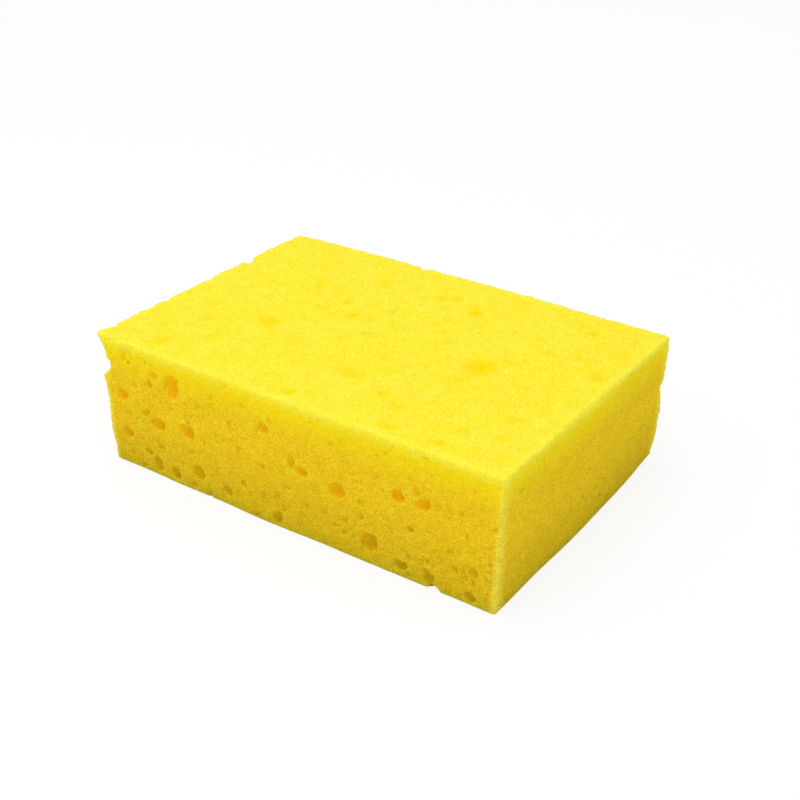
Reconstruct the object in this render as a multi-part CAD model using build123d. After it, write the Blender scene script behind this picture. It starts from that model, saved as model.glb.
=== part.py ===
from build123d import *
import os
import random

# A rectangular bath sponge, cut as one block from open-cell foam.
# Millimetres, +Z up. The origin is the centre of the flat underside, with the long side
# at -Y and the right end at +X.

length = 150.0              # along X, over the top face
depth = 102.0               # along Y
height = 45.5               # along Z
left_draw_in = 2.0          # how far the wire drew the left end in, at the underside
right_draw_in = 1.9         # the same at the right end
edge_radius = 1.6           # the soft round on the cut edges
back_corner_radius = 3.5    # the rounder upright edge at the back, on the left
proud = 0.15                # how far in front of the cut a bubble's centre lies, in radii

os.makedirs("parts", exist_ok=True)
random.seed(11)

half_x = length / 2
half_y = depth / 2


# The block: one side outline, pushed through the depth, with every edge softly rounded.
side_outline = Polygon(
    (-half_x + left_draw_in, 0),
    (half_x - right_draw_in, 0),
    (half_x, height),
    (-half_x, height),
    align=None,
)
block = extrude(Plane.XZ * side_outline, amount=half_y, both=True)
back_left_edge = block.faces().sort_by(Axis.Y)[-1].edges().sort_by(Axis.X)[0]
block = fillet(back_left_edge, radius=back_corner_radius)
block = fillet(block.edges(), radius=edge_radius)


# A bubble that the wire cut open, as a ball. Its centre lies a little in front of the
# cut, so it leaves a bowl whose rim is its mouth. The ball's seam faces outwards and
# its poles lie in the cut, clear of the bowl.
def open_bubble(at, mouth_radius, outwards, poles=(0, 0, 1)):
    radius = mouth_radius / (1 - proud ** 2) ** 0.5
    centre = Vector(*at) + Vector(*outwards).normalized() * (radius * proud)
    return Plane(centre, x_dir=outwards, z_dir=poles) * Sphere(radius)


bubbles = []

# The long front side. Each is placed by its share of the way from the middle to the
# right end (minus is to the left) and its share of the height, with its mouth's radius.
# Two that overlap are one tall or wide opening.
front_bubbles = [
    (-0.91, 0.58, 2.3), (-0.91, 0.26, 2.2), (-0.62, 0.81, 2.4), (-0.61, 0.75, 2.4),
    (-0.72, 0.44, 2.3), (-0.74, 0.11, 2.2), (-0.63, 0.10, 2.0), (-0.54, 0.48, 2.6),
    (-0.49, 0.17, 2.6), (-0.33, 0.13, 1.7), (-0.11, 0.75, 1.8), (-0.06, 0.26, 1.7),
    (-0.06, 0.09, 1.9), (0.08, 0.52, 1.9), (0.25, 0.48, 2.5), (0.41, 0.19, 2.6),
    (0.40, 0.15, 2.6), (0.54, 0.61, 2.1), (0.64, 0.62, 1.5), (0.67, 0.61, 1.4),
    (0.60, 0.40, 1.2), (0.56, 0.10, 2.0), (0.69, 0.09, 1.9), (0.88, 0.24, 1.7),
    (0.87, 0.08, 1.6),
]
for share_x, share_z, mouth in front_bubbles:
    at = (share_x * half_x, -half_y, share_z * height)
    bubbles.append(open_bubble(at, mouth, (0, -1, 0)))

# The right end has few, the left end rather more, by their share of the half depth
# and of the height.
for share_y, share_z, mouth in [(0.2, 0.16, 1.4), (0.31, 0.09, 1.2), (-0.78, 0.76, 1.1)]:
    drawn_in = right_draw_in * (1 - share_z)
    at = (half_x - drawn_in, share_y * half_y, share_z * height)
    bubbles.append(open_bubble(at, mouth, (1, 0, 0)))
for share_y, share_z, mouth in [(-0.7, 0.3, 2.0), (-0.4, 0.67, 1.6), (0.06, 0.2, 2.2), (0.5, 0.62, 1.8)]:
    drawn_in = left_draw_in * (1 - share_z)
    at = (-half_x + drawn_in, share_y * half_y, share_z * height)
    bubbles.append(open_bubble(at, mouth, (-1, 0, 0)))

# The back: one bubble in each of nine equal stretches, at a height of its own.
back_count = 9
for number in range(back_count):
    share_x = (2 * number + 1) / back_count - 1 + random.uniform(-0.06, 0.06)
    share_z = random.uniform(0.15, 0.85)
    at = (share_x * half_x, half_y, share_z * height)
    bubbles.append(open_bubble(at, random.uniform(1.3, 2.4), (0, 1, 0)))

# Bubbles right on an edge, which leave a small nick in it: on the top's left and back
# edges, on the upright edges at the right back and the left front, and on the
# underside's front edge. Each ball's poles lie along its edge.
edge_nicks = [
    ((-half_x, 0.41 * half_y, height), 2.3, (-1, 0, 1), (0, 1, 0)),
    ((-half_x, 0.03 * half_y, height), 1.8, (-1, 0, 1), (0, 1, 0)),
    ((-0.25 * half_x, half_y, height), 1.9, (0, 1, 1), (1, 0, 0)),
    ((half_x - 0.4 * right_draw_in, half_y, 0.56 * height), 1.8, (1, 1, 0), (0, 0, 1)),
    ((-half_x + 0.2 * left_draw_in, -half_y, 0.75 * height), 1.8, (-1, -1, 0), (0, 0, 1)),
    ((0.7 * half_x, -half_y, 0), 2.2, (0, -1, -1), (1, 0, 0)),
]
for at, mouth, outwards, along_edge in edge_nicks:
    bubbles.append(open_bubble(at, mouth, outwards, poles=along_edge))

foam = block - bubbles

sponge = foam.solid()
sponge.label = "sponge"
export_step(sponge, "parts/sponge.step")
print("sponge", len(foam.solids()), "solid, volume", round(sponge.volume / 1000, 2), "cm3, valid", sponge.is_valid)
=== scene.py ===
import math
import random

import bpy
import numpy
from mathutils import Matrix, Vector, noise
from mathutils.bvhtree import BVHTree


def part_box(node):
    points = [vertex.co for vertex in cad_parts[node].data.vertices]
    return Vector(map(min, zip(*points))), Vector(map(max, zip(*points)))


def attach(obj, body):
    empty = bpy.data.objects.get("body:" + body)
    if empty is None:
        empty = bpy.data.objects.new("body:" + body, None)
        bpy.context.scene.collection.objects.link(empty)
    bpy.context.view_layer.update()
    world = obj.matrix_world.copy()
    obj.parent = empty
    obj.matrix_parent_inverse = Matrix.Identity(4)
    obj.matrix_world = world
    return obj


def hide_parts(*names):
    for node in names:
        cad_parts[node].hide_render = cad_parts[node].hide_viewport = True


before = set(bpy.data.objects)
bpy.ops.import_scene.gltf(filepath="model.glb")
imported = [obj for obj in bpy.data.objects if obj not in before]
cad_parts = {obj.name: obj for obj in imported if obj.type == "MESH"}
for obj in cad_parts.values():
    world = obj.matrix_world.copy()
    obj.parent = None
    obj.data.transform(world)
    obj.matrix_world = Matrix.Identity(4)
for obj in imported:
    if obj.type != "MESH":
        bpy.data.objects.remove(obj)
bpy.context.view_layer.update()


# The block. One piece of dyed polyurethane foam, sawn from a bun with a hot wire, so its
# sides are flat but not quite square. The wire drew both ends in towards the underside.
MM = 0.001
low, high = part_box("sponge")
half_x = (high.x - low.x) / 2
half_y = (high.y - low.y) / 2
height = high.z - low.z
left_draw_in = 2.0 * MM
right_draw_in = 1.9 * MM
edge_round = 0.7 * MM


def start_piece():
    if bpy.context.object and bpy.context.object.mode != "OBJECT":
        bpy.ops.object.mode_set(mode="OBJECT")
    bpy.ops.object.select_all(action="DESELECT")


def finish_with(piece, kind, **settings):
    start_piece()
    bpy.context.view_layer.objects.active = piece
    piece.select_set(True)
    modifier = piece.modifiers.new(kind.lower(), kind)
    for name, value in settings.items():
        setattr(modifier, name, value)
    bpy.ops.object.modifier_apply(modifier=modifier.name)


start_piece()
block_size = (2 * half_x, 2 * half_y, height)
bpy.ops.mesh.primitive_cube_add(size=1, location=(0, 0, height / 2), scale=block_size)
foam = bpy.context.object
foam.name = "foam_block"
bpy.ops.object.transform_apply(location=True, rotation=True, scale=True)
for corner in foam.data.vertices:
    if corner.co.z < height / 2:
        corner.co.x += left_draw_in if corner.co.x < 0 else -right_draw_in
finish_with(foam, "BEVEL", width=edge_round, segments=3, limit_method="NONE")


# The opened bubbles. Gas bubbles that the wire cut through are left as pits, most of them
# in the sides. One lumpy ball is modelled and copied, each copy stretched, leant and slanted.
start_piece()
bpy.ops.mesh.primitive_ico_sphere_add(subdivisions=2, radius=1)
ball = bpy.context.object
ball.name = "bubble"
for vertex in ball.data.vertices:
    vertex.co *= 1.04 + 0.2 * noise.noise(vertex.co * 1.3 + Vector((3, 1, 2)))
random.seed(4)
bubbles = []


def ball_copy():
    one = ball.copy()
    one.data = ball.data.copy()
    bpy.context.collection.objects.link(one)
    bubbles.append(one)
    return one.data


def side_point(side, along, up):
    """A point on a cut side and the way it faces. along and up run from the middle and
    the underside, in millimetres, and up runs from the middle on the top and underside."""
    share = 1 - up * MM / height
    if side == "front":
        return Vector((along, -half_y / MM, up)), Vector((0, -1, 0))
    if side == "back":
        return Vector((-along, half_y / MM, up)), Vector((0, 1, 0))
    if side == "right":
        return Vector(((half_x - right_draw_in * share) / MM, along, up)), Vector((1, 0, 0))
    if side == "left":
        return Vector(((-half_x + left_draw_in * share) / MM, -along, up)), Vector((-1, 0, 0))
    if side == "top":
        return Vector((along, up, height / MM)), Vector((0, 0, 1))
    return Vector((-along, up, 0)), Vector((0, 0, -1))


def open_bubble(side, along, up, wide, tall, deep, lean=0.0, slant=0.6):
    """Half sizes are in millimetres. lean is in degrees, anticlockwise as the side is seen.
    slant is how far the pit runs to the right and down, as a share of its depth."""
    at, facing = side_point(side, along, up)
    upwards = Vector((0, 1, 0)) if abs(facing.z) > 0.5 else Vector((0, 0, 1))
    rightwards = upwards.cross(facing)
    spin = Matrix.Rotation(random.randrange(4) * math.pi / 2, 3, "Z")
    tilt = Matrix.Rotation(math.radians(lean), 3, facing)
    for vertex in ball_copy().vertices:
        right, over, out = spin @ vertex.co
        point = tilt @ (rightwards * right * wide + upwards * over * tall) + facing * out * deep
        point += (upwards * 0.6 - rightwards) * slant * out * deep
        vertex.co = (at + point) * MM


# The deep ones in the long front side: place along and up, half width and height, lean.
deep_bubbles = [
    (-45.5, 35.5, 3.0, 3.9, 5), (-52.2, 20.0, 2.8, 2.1, 15), (-39.5, 21.5, 2.8, 2.2, -8),
    (-66.0, 12.5, 2.0, 1.9, 0), (-67.0, 26.2, 2.4, 1.8, 5), (-54.0, 4.8, 1.9, 2.4, 25),
    (-46.2, 4.0, 2.1, 2.0, -20), (-36.0, 8.0, 2.2, 2.6, 15), (-24.2, 5.7, 2.1, 1.6, 0),
    (-57.7, 8.2, 1.5, 1.4, 0), (-8.0, 33.5, 2.0, 1.8, 0), (-5.7, 36.2, 0.7, 1.2, -25),
    (-3.7, 3.6, 1.8, 2.2, 0), (2.2, 25.7, 1.3, 2.2, 0), (6.0, 23.5, 2.2, 1.5, 5),
    (19.0, 21.7, 2.9, 2.4, 5), (40.2, 27.7, 2.3, 2.1, 25), (49.0, 28.0, 2.7, 1.7, 35),
    (30.5, 8.2, 2.9, 2.9, 0), (41.2, 4.3, 2.4, 1.6, 15), (51.0, 4.0, 1.9, 2.1, 0),
    (64.7, 3.2, 1.8, 1.5, 0), (65.5, 11.5, 1.4, 1.6, 0), (59.7, 10.0, 1.0, 1.1, 0),
    (44.5, 18.0, 1.4, 0.9, 12), (21.7, 12.7, 1.2, 1.1, 0), (-32.5, 20.0, 1.0, 1.0, 0),
    (-51.7, 11.7, 1.2, 1.2, 0), (-17.0, 11.0, 1.0, 1.5, 10), (-57.2, 22.7, 1.5, 1.2, 20),
    (-54.7, 33.5, 1.2, 1.5, 0), (-31.7, 1.4, 1.1, 1.0, 0), (27.7, 16.0, 1.2, 1.1, 0),
]
# The shallow ones fade out into the side round them.
shallow_bubbles = [
    (-65.2, 40.7, 1.2, 1.7, 0), (-52.5, 37.2, 1.6, 1.5, 0), (-65.0, 19.2, 1.3, 1.4, 0),
    (-67.5, 7.7, 1.1, 1.0, 0), (-65.2, 5.2, 1.0, 1.0, 0), (-60.5, 2.2, 1.1, 1.0, 0),
    (-53.5, 13.2, 0.9, 0.9, 0), (-16.5, 38.2, 1.4, 1.1, 15), (-29.0, 37.0, 1.0, 1.0, 0),
    (-34.0, 32.5, 1.3, 0.9, 10), (-3.7, 11.5, 1.2, 1.6, 0), (-1.2, 7.5, 1.0, 1.0, 0),
    (-1.2, 20.2, 1.0, 1.0, 0), (-8.5, 19.5, 0.8, 1.0, 0), (-38.5, 2.5, 1.2, 1.0, 0),
    (-14.2, 8.0, 1.0, 0.8, 0), (12.0, 18.5, 0.9, 1.1, 0), (14.5, 25.5, 0.8, 1.0, 0),
    (17.0, 36.5, 1.1, 1.0, 10), (32.7, 31.0, 0.8, 1.0, 0), (46.7, 31.2, 1.1, 1.8, 0),
    (53.7, 29.0, 1.2, 1.5, 0), (37.5, 15.2, 0.9, 0.9, 0), (7.7, 12.2, 1.0, 1.2, 0),
    (14.5, 12.5, 1.1, 0.8, 0), (44.2, 2.2, 0.9, 0.7, 0), (58.0, 15.2, 1.0, 1.2, 0),
    (63.2, 8.7, 0.9, 1.0, 0), (62.0, 29.5, 1.0, 0.7, 10), (58.5, 34.7, 0.7, 0.7, 0),
    (68.5, 21.2, 0.8, 0.7, 0), (27.7, 20.7, 1.2, 0.9, 0), (6.5, 8.0, 0.9, 1.0, 0),
    (21.5, 8.0, 1.0, 0.9, 0), (25.0, 7.7, 0.8, 0.8, 0), (72.0, 28.2, 0.8, 0.7, 0),
]
# Per group: how much wider than listed its balls are, and how deep each goes, as a share
# of its half width and half height together.
front_groups = [
    (deep_bubbles, 1.08, 0.55),
    (shallow_bubbles, 1.2, 0.42),
]
for group, widening, sinking in front_groups:
    for along, up, wide, tall, lean in group:
        deep = (wide + tall) * sinking
        open_bubble("front", along, up, wide * widening, tall * widening, deep, lean)

# The few that show in the right end.
end_bubbles = [
    (10.2, 7.0, 0.8, 1.7, 15), (15.7, 3.2, 1.1, 1.8, 20), (38.0, 17.6, 1.2, 1.0, 0),
    (-40.8, 36.7, 1.4, 1.2, 0), (-37.0, 15.6, 0.7, 1.0, 0), (-28.5, 19.3, 1.0, 0.5, 0),
    (-17.3, 19.6, 1.2, 0.5, 0), (-27.5, 11.5, 1.2, 0.8, 0), (-9.5, 11.8, 0.8, 0.7, 0),
    (-2.0, 13.5, 1.0, 0.9, 0), (29.3, 6.4, 1.0, 0.7, 0),
]
end_sinking = 0.3
for along, up, wide, tall, lean in end_bubbles:
    open_bubble("right", along, up, wide, tall, (wide + tall) * end_sinking, lean, slant=0.2)

# Where one lies on an edge, it leaves a nick: its place, in shares that run from -1 to 1
# each way, and its half size in millimetres.
edge_nicks = [
    ((-1, 0.42, 1), 2.8), ((-1, 0.03, 1), 1.5), ((-1, -0.39, 1), 1.2),
    ((-1, -0.86, 1), 1.4), ((-0.25, 1, 1), 1.9), ((1, 1.02, 0.15), 3.2),
    ((-1, -1.0, 0.51), 3.2), ((0.705, -1, -1.01), 2.1),
]
for (share_x, share_y, share_up), size in edge_nicks:
    at = Vector((share_x * half_x, share_y * half_y, height * (share_up + 1) / 2))
    nick = ball_copy()
    nick.transform(Matrix.Scale(size * MM, 4))
    nick.transform(Matrix.Translation(at))

# The rest lie where the gas left them: how many on each side, and their half widths.
scatter = [
    ("front", 120, 0.5, 1.05), ("right", 40, 0.4, 0.75), ("left", 30, 1.2, 2.9),
    ("left", 90, 0.5, 1.1), ("back", 44, 1.2, 3.0), ("back", 130, 0.5, 1.1),
    ("top", 40, 0.35, 0.7), ("under", 60, 0.4, 0.9),
]
for side, count, least, most in scatter:
    half_length = half_y if side in ("right", "left") else half_x
    for _ in range(count):
        size = least + (most - least) * random.random() ** 2
        tall = size * random.uniform(0.8, 1.3)
        along = random.uniform(-0.97, 0.97) * half_length / MM
        up = random.uniform(0.03, 0.96) * height / MM
        if side in ("top", "under"):
            up = random.uniform(-0.95, 0.95) * half_y / MM
        lean = random.uniform(-20, 30)
        open_bubble(side, along, up, size, tall, size * 0.9, lean, slant=0.4)

start_piece()
for one in bubbles:
    one.select_set(True)
bpy.context.view_layer.objects.active = bubbles[0]
bpy.ops.object.join()
cutter = bpy.context.object
finish_with(foam, "BOOLEAN", operation="DIFFERENCE", object=cutter, solver="EXACT", use_self=True)
bpy.data.objects.remove(cutter)
bpy.data.objects.remove(ball)
voxel = 0.4 * MM
finish_with(foam, "REMESH", mode="VOXEL", voxel_size=voxel)


# How deep each point lies below the flat cut, in millimetres, for the finish further down.
def vectors_of(piece, name):
    values = numpy.empty(len(piece.data.vertices) * 3)
    piece.data.vertices.foreach_get(name, values)
    return values.reshape(-1, 3)


places = vectors_of(foam, "co") / MM
normals = vectors_of(foam, "normal")
tall_mm = height / MM
drawn_in = numpy.where(places[:, 0] < 0, left_draw_in, right_draw_in) / MM
drawn_in *= 1 - places[:, 2] / tall_mm
from_end_mm = half_x / MM - drawn_in - abs(places[:, 0])
from_side_mm = half_y / MM - abs(places[:, 1])
from_top_mm = tall_mm - places[:, 2]
nearest = numpy.sort(numpy.stack([from_end_mm, from_side_mm, from_top_mm]), axis=0)
depth = numpy.minimum(nearest[0], places[:, 2])

# Closed bubbles just under the top show as soft dents: place, half widths and strength. Faint
# ones lie scattered over the top and the underside.
soft_spots = [
    (-36.6, -13.0, 4.6, 3.6, 0.8), (36.2, -1.0, 5.2, 5.2, 1.0), (15.6, 30.0, 2.6, 2.6, 1.0),
    (4.8, 35.0, 2.0, 2.4, 0.8), (54.0, 38.7, 1.8, 2.0, 0.8), (-7.4, 15.2, 1.2, 1.2, 1.0),
    (-16.7, 6.0, 2.1, 2.3, 0.9), (-23.8, 12.6, 1.4, 1.4, 0.8), (-39.0, 17.7, 2.0, 2.0, 0.7),
    (-55.5, -42.6, 2.8, 2.4, 0.9), (-1.8, -45.7, 1.9, 1.8, 1.1), (21.2, -31.0, 1.9, 1.4, 1.0),
    (6.9, -26.0, 4.4, 2.6, 0.6), (50.4, -45.0, 2.0, 1.5, 1.0), (68.0, 13.0, 3.8, 2.8, 0.6),
    (32.5, -45.7, 2.8, 1.5, 0.8), (59.0, 21.0, 2.4, 2.0, 0.5), (-54.0, -22.0, 1.0, 1.0, 0.8),
    (-31.0, 5.5, 1.6, 1.1, 0.7), (-11.0, 34.0, 1.6, 2.0, 0.5), (46.0, 10.0, 1.2, 1.5, 0.7),
    (33.5, 25.0, 0.8, 0.8, 0.9), (-1.3, 6.5, 0.8, 0.8, 0.8),
]
faint_spots = 110
dent_depth = 0.4
softness = numpy.zeros(len(places))
for spots, facing_up in ((list(soft_spots), 1), ([], -1)):
    for _ in range(faint_spots):
        wide = random.uniform(0.8, 3.0)
        at_x = random.uniform(-0.97, 0.97) * half_x / MM
        at_y = random.uniform(-0.96, 0.96) * half_y / MM
        long = wide * random.uniform(0.7, 1.4)
        spots.append((at_x, at_y, wide, long, random.uniform(0.15, 0.5)))
    flat = numpy.nonzero((normals[:, 2] * facing_up > 0.6) & (depth < 1.0))[0]
    for at_x, at_y, wide, long, strength in spots:
        gap = ((places[flat, 0] - at_x) / wide) ** 2 + ((places[flat, 1] - at_y) / long) ** 2
        softness[flat] = numpy.maximum(softness[flat], strength * numpy.exp(-(gap ** 1.5)))

# The wire pulled and the hand pinched the block a little: centre, reach and move of each.
pushes = [
    ((-75, -51, 45.5), 3.0, (-1.2, 0.0, 0.3)),
    ((-74.5, -51, 39), 3.2, (1.4, 0.3, 0.0)),
    ((-75, -51, 29.5), 3.0, (-0.4, -0.1, 0.0)),
    ((-75, -51, 15), 9.0, (-0.8, -0.2, 0.0)),
    ((-75, -38, 45.5), 11.0, (-0.4, 0.0, 0.4)),
    ((75, -51, 0), 14.0, (0.5, -0.4, 0.0)),
    ((73, 51, 0), 9.0, (-0.5, -0.3, 0.9)),
    ((74, 51, 13), 6.0, (0.7, 0.2, 0.0)),
    ((75, 51, 38), 6.0, (0.2, 0.2, 0.0)),
    ((-75, 51, 45.5), 7.0, (0.7, -0.4, 0.0)),
    ((-75, -12, 45.5), 24.0, (-0.5, 0.0, 0.2)),
    ((0, -51, 0), 34.0, (0.0, -0.9, 0.0)),
    ((75, 0, 0), 26.0, (0.9, 0.0, 0.0)),
    ((0, 51, 45.5), 34.0, (0.0, 0.5, 0.2)),
]

# The cut is rough, its edges are worn except at the foot, and the foot lies flat: how far in
# the wear reaches, and how high the unworn foot and the flat foot are, in millimetres.
wear_reach = 1.6
unworn_foot = 1.5
flat_foot = 2.0
worn = numpy.exp(-((nearest[1] / wear_reach) ** 2)) * (places[:, 2] > unworn_foot)
off_floor = numpy.clip(places[:, 2] / flat_foot, 0.12, 1)
rough = numpy.empty(len(places))
for index, place in enumerate(places):
    at = Vector(place)
    fine = 0.28 * noise.noise(at / 1.2) + 0.2 * noise.noise(at / 0.6)
    crumbled = 0.3 * worn[index] * noise.noise(at / 4)
    rough[index] = (fine + crumbled) * off_floor[index] + 0.25 * noise.noise(at / 22)
moved = places + normals * rough[:, None]
moved[:, 2] -= dent_depth * softness * numpy.sign(normals[:, 2])
for centre, reach, move in pushes:
    gap = numpy.linalg.norm(places - numpy.array(centre), axis=1)
    moved += numpy.exp(-0.5 * (gap / reach) ** 2)[:, None] * numpy.array(move)
moved[:, 2] = numpy.maximum(moved[:, 2], 0)
foam.data.vertices.foreach_set("co", (moved * MM).reshape(-1))
for name, values in (("depth", depth), ("soft_spot", softness)):
    foam.data.attributes.new(name, "FLOAT", "POINT").data.foreach_set("value", values)
foam.data.update()
triangles = sum(len(face.vertices) - 2 for face in foam.data.polygons)
most_triangles = 198000
finish_with(foam, "DECIMATE", ratio=min(1, most_triangles / triangles))
foam.data.polygons.foreach_set("use_smooth", [True] * len(foam.data.polygons))

# A flat pattern of the block's six sides. Each face goes to the side from which it is seen,
# so that no two share a spot. Per side: how it faces, its two axes, and the place of the
# block's origin on a square sheet, in millimetres.
sheet = 264
side_patterns = [
    ((0, 0, 1), (1, 0, 0), (0, 1, 0), (77, 53)),
    ((0, 0, -1), (-1, 0, 0), (0, 1, 0), (77, 160)),
    ((1, 0, 0), (0, 1, 0), (0, 0, 1), (53, 215)),
    ((-1, 0, 0), (0, -1, 0), (0, 0, 1), (160, 215)),
    ((0, -1, 0), (0, 0, -1), (1, 0, 0), (203, 77)),
    ((0, 1, 0), (0, 0, -1), (-1, 0, 0), (253, 77)),
]
side_patterns = [tuple(Vector(part) for part in pattern) for pattern in side_patterns]
points = [vertex.co.copy() for vertex in foam.data.vertices]
tree = BVHTree.FromPolygons(points, [tuple(face.vertices) for face in foam.data.polygons])
clear_of_face = 0.02 * MM
flat_map = foam.data.uv_layers.new(name="OFBake")
flat_places = numpy.empty((len(foam.data.loops), 2))
for face in foam.data.polygons:
    by_facing = sorted(side_patterns, key=lambda pattern: -face.normal.dot(pattern[0]))
    chosen = by_facing[0]
    for pattern in by_facing[:3]:
        outside = face.center + face.normal * clear_of_face
        if face.normal.dot(pattern[0]) > 0.05 and tree.ray_cast(outside, pattern[0])[0] is None:
            chosen = pattern
            break
    facing, across, upwards, origin = chosen
    for loop, vertex in zip(face.loop_indices, face.vertices):
        point = points[vertex] / MM
        flat_places[loop] = (point.dot(across) + origin[0], point.dot(upwards) + origin[1])
flat_map.data.foreach_set("uv", (flat_places / sheet).reshape(-1))


# Its finish. Seen close, the foam is a net of pale struts round deeper golden cells. Light
# soaks into it, so it looks soft. The sides are painted darker towards the floor: painted shade.
class Wire:
    """One socket of a shader, so that sums on it can be written as sums."""

    def __init__(self, finish, socket):
        self.finish = finish
        self.socket = socket

    def other(self, outlet):
        """Another outlet of the same node."""
        return Wire(self.finish, self.socket.node.outputs[outlet])

    def sum(self, operation, first, second=0.0):
        return self.finish.node("ShaderNodeMath", {"operation": operation}, {0: first, 1: second})

    def __add__(self, other):
        return self.sum("ADD", self, other)

    def __radd__(self, other):
        return self.sum("ADD", other, self)

    def __sub__(self, other):
        return self.sum("SUBTRACT", self, other)

    def __rsub__(self, other):
        return self.sum("SUBTRACT", other, self)

    def __mul__(self, other):
        return self.sum("MULTIPLY", self, other)

    def __rmul__(self, other):
        return self.sum("MULTIPLY", other, self)

    def __truediv__(self, other):
        return self.sum("DIVIDE", self, other)

    def __abs__(self):
        return self.sum("ABSOLUTE", self)

    def least(self, other):
        return self.sum("MINIMUM", self, other)

    def most(self, other):
        return self.sum("MAXIMUM", self, other)

    def rise(self, start, end):
        """0 below start, 1 above end, smooth between them. It falls if end is below start."""
        if end < start:
            return 1 - self.rise(end, start)
        settings = {"interpolation_type": "SMOOTHSTEP"}
        sockets = {"Value": self, "From Min": start, "From Max": end}
        return self.finish.node("ShaderNodeMapRange", settings, sockets)


class Finish:
    """The nodes of a material or of the world, while they are being added."""

    def __init__(self, made, shader="Principled BSDF"):
        made.use_nodes = True
        self.made = made
        self.nodes = made.node_tree.nodes
        self.links = made.node_tree.links
        self.shader = self.nodes[shader]

    def node(self, kind, settings, sockets, outlet=0):
        made = self.nodes.new(kind)
        for name, value in settings.items():
            setattr(made, name, value)
        for name, value in sockets.items():
            if isinstance(value, Wire):
                self.links.new(value.socket, made.inputs[name])
            else:
                made.inputs[name].default_value = value
        return Wire(self, made.outputs[outlet])

    def mix(self, first, second, share, blend="MIX"):
        """From the first colour to the second, as share goes from 0 to 1."""
        settings = {"data_type": "RGBA", "blend_type": blend}
        return self.node("ShaderNodeMix", settings, {0: share, 6: first, 7: second}, outlet=2)

    def feed(self, wire, socket):
        self.links.new(wire.socket, self.shader.inputs[socket])

    def shown_white(self):
        """1 where the camera, glass or gloss sees the surface, 0 where it lights others."""
        path = self.node("ShaderNodeLightPath", {}, {}, outlet="Is Camera Ray")
        return path.most(path.other("Is Glossy Ray")).most(path.other("Is Transmission Ray"))


finish = Finish(bpy.data.materials.new("yellow foam"))
place = finish.node("ShaderNodeTexCoord", {}, {}, outlet="Object")
x = finish.node("ShaderNodeSeparateXYZ", {}, {0: place})
y = x.other(1)
z = x.other(2)

# How far in from each face of the block a point lies, in millimetres, and from its edges.
from_top = (height - z) / MM
draw_in = (x.rise(-0.01, 0.01) * (right_draw_in - left_draw_in) + left_draw_in) * (1 - z / height)
from_end = (half_x - draw_in - abs(x)) / MM
from_side = (half_y - abs(y)) / MM
from_upright = from_end.most(from_side * 0.4)
from_rim = from_end.least(from_side).most(from_top)
pit_depth = finish.node("ShaderNodeAttribute", {"attribute_name": "depth"}, {}, outlet="Fac")
soft_dent = finish.node("ShaderNodeAttribute", {"attribute_name": "soft_spot"}, {}, outlet="Fac")

# The struts, the cells between them, small bubbles, and painted glints: pale specks on the top
# that stand in for light caught by the cell walls.
to_edge = {"feature": "DISTANCE_TO_EDGE"}
net = finish.node("ShaderNodeTexVoronoi", to_edge, {"Vector": place, "Scale": 1050})
grain = finish.node("ShaderNodeTexNoise", {}, {"Vector": place, "Scale": 1700, "Detail": 2.0})
cloud = finish.node("ShaderNodeTexNoise", {}, {"Vector": place, "Scale": 230, "Detail": 3.0})
fuzz = finish.node("ShaderNodeTexNoise", {}, {"Vector": place, "Scale": 600, "Detail": 3.0})
struts = net.rise(0.26, 0.03) * 0.55 + grain.rise(0.36, 0.66) * 0.5
wander = (fuzz - 0.5) * 4
small = finish.node("ShaderNodeTexVoronoi", {}, {"Vector": place, "Scale": 380})
small_size = finish.node("ShaderNodeSeparateColor", {}, {0: small.other("Color")})
small_bubbles = ((small_size - 0.3) * 0.48 - small).rise(0.0, 0.14)
glint_cells = finish.node("ShaderNodeTexVoronoi", {}, {"Vector": place, "Scale": 760})
glint_size = finish.node("ShaderNodeSeparateColor", {}, {0: glint_cells.other("Color")})
painted_sparkle = ((glint_size - 0.42) * 0.6 - glint_cells).rise(0.0, 0.1)

on_top = (from_top + wander).rise(3.8, 0.4)
near_upright = (from_upright + wander * 0.3).rise(2.0, 0.2)
near_rim = (from_rim + wander).rise(3.5, 0.3) * 0.5
on_edge = near_upright.most(near_rim)
in_pit = pit_depth.rise(0.2, 1.4)

side_deep = (0.79, 0.48, 0.0004, 1)
side_pale = (1.0, 0.725, 0.022, 1)
side_painted_glow = (1.0, 0.80, 0.006, 1)
pit_painted_shade = (0.93, 0.55, 0.0006, 1)
side_shade = (0.66, 0.70, 0.80, 1)
foot_shade = (0.82, 0.92, 1.0, 1)
side = finish.mix(side_deep, side_pale, struts * 0.8 + cloud.rise(0.4, 0.65) * 0.12)
# Painted light: the sides are painted paler towards the top, where light from above glows through
# the foam.
side = finish.mix(side, side_painted_glow, from_top.rise(15, 0) * 0.85)
# Painted shade: the small bubbles and the pits in the sides are painted a deeper, darker gold.
side = finish.mix(side, pit_painted_shade, small_bubbles * 0.8)
side = finish.mix(side, pit_painted_shade, in_pit * 0.5)
# Painted shade: the sides are painted darker towards the floor and olive in their lowest few
# millimetres; the underside gets the darkest of it.
side = finish.mix(side, side_shade, from_top.rise(16, 50) * 0.72, "MULTIPLY")
side = finish.mix(side, foot_shade, from_top.rise(40, 46) * 0.8, "MULTIPLY")

# Painted light: the top's colours are a paler yellow than the sides', standing in for the light
# that falls on it from above.
top_painted_lit_deep = (0.93, 0.71, 0.001, 1)
top_painted_lit_pale = (1.0, 0.84, 0.066, 1)
dent_gold_and_pit_shade = (0.95, 0.70, 0.001, 1)
painted_glint = (1.0, 0.90, 0.20, 1)
painted_edge_glow = (1.0, 0.90, 0.11, 1)
top = finish.mix(top_painted_lit_deep, top_painted_lit_pale, struts * 0.8 + cloud.rise(0.35, 0.65) * 0.2)
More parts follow.
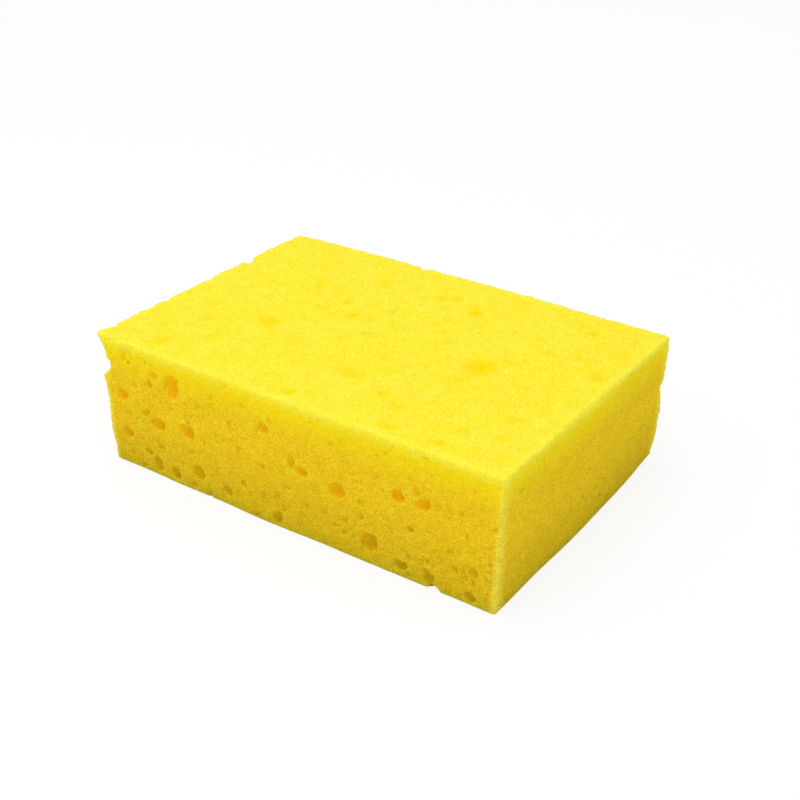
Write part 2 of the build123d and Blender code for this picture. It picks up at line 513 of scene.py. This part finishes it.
# Painted highlight: pale specks on the top stand in for glints off the cell walls.
top = finish.mix(top, painted_glint, painted_sparkle * 0.8)
# A deeper gold in the soft dents; in the pits of the top it is painted shade.
top = finish.mix(top, dent_gold_and_pit_shade, soft_dent)
top = finish.mix(top, dent_gold_and_pit_shade, in_pit)
skin = finish.mix(side, top, on_top)
# Painted light: the edges are painted paler, standing in for light that scatters out of the foam
# there.
skin = finish.mix(skin, painted_edge_glow, on_edge * (1 - in_pit) * (struts * 0.4 + 0.2))
finish.feed(skin, "Base Color")

relief = (struts * 0.6 + grain * 0.4) * (1 - in_pit * 0.85) - small_bubbles * 0.9 * (1 - on_top)
bump = finish.node("ShaderNodeBump", {}, {"Strength": 0.9, "Distance": 0.5 * MM, "Height": relief})
finish.feed(bump, "Normal")
finish.shader.inputs["Roughness"].default_value = 0.9
finish.shader.inputs["Specular IOR Level"].default_value = 0.06
finish.shader.inputs["Subsurface Weight"].default_value = 0.5
finish.shader.inputs["Subsurface Radius"].default_value = (1.0, 0.7, 0.15)
finish.shader.inputs["Subsurface Scale"].default_value = 7 * MM
foam.data.materials.append(finish.made)

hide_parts("sponge")
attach(foam, "root")


# The stage. A plain white floor keeps a soft shadow of the block, and a white studio lies
# round it. Both show as white, but light the block less than that.
start_piece()
bpy.ops.mesh.primitive_plane_add(size=8)
floor = bpy.context.object
floor.name = "floor"
white = Finish(bpy.data.materials.new("white floor"))
white.shader.inputs["Base Color"].default_value = (0.85, 0.85, 0.85, 1)
white.shader.inputs["Roughness"].default_value = 0.9
shown_share = 0.84
bare = white.node("ShaderNodeEmission", {}, {"Color": (1, 1, 1, 1), "Strength": 1.0})
lit = Wire(white, white.shader.outputs[0])
bare_share = white.shown_white() * shown_share
both = white.node("ShaderNodeMixShader", {}, {0: bare_share, 1: lit, 2: bare})
white.links.new(both.socket, white.nodes["Material Output"].inputs["Surface"])
floor.data.materials.append(white.made)

studio_light = 0.78
studio = Finish(bpy.data.worlds.new("studio"), "Background")
bpy.context.scene.world = studio.made
studio.shader.inputs["Color"].default_value = (1, 1, 1, 1)
studio.feed(studio.shown_white() * (1 - studio_light) + studio_light, "Strength")

start_piece()
bpy.ops.object.light_add(type="AREA", location=(-0.1, -0.28, 0.87))
lamp = bpy.context.object
lamp.name = "lamp over the front"
lamp.data.size = 1.0
lamp.data.energy = 5.2
lamp.rotation_euler = (-lamp.location).to_track_quat("-Z", "Y").to_euler()

# The camera, in front and to the right, looking down.
azimuth = math.radians(34.66)
elevation = math.radians(29.4)
distance = 430 * MM
target = Vector((3.64, 3.46, 21.39)) * MM
level = math.cos(elevation)
towards = Vector((math.sin(azimuth) * level, -math.cos(azimuth) * level, math.sin(elevation)))
start_piece()
bpy.ops.object.camera_add(location=target + towards * distance)
camera = bpy.context.object
camera.rotation_euler = towards.to_track_quat("Z", "Y").to_euler()
camera.data.sensor_width = 36
camera.data.lens = 59.2
camera.data.clip_start = 0.01
bpy.context.scene.camera = camera
bpy.context.scene.view_settings.view_transform = "Standard"
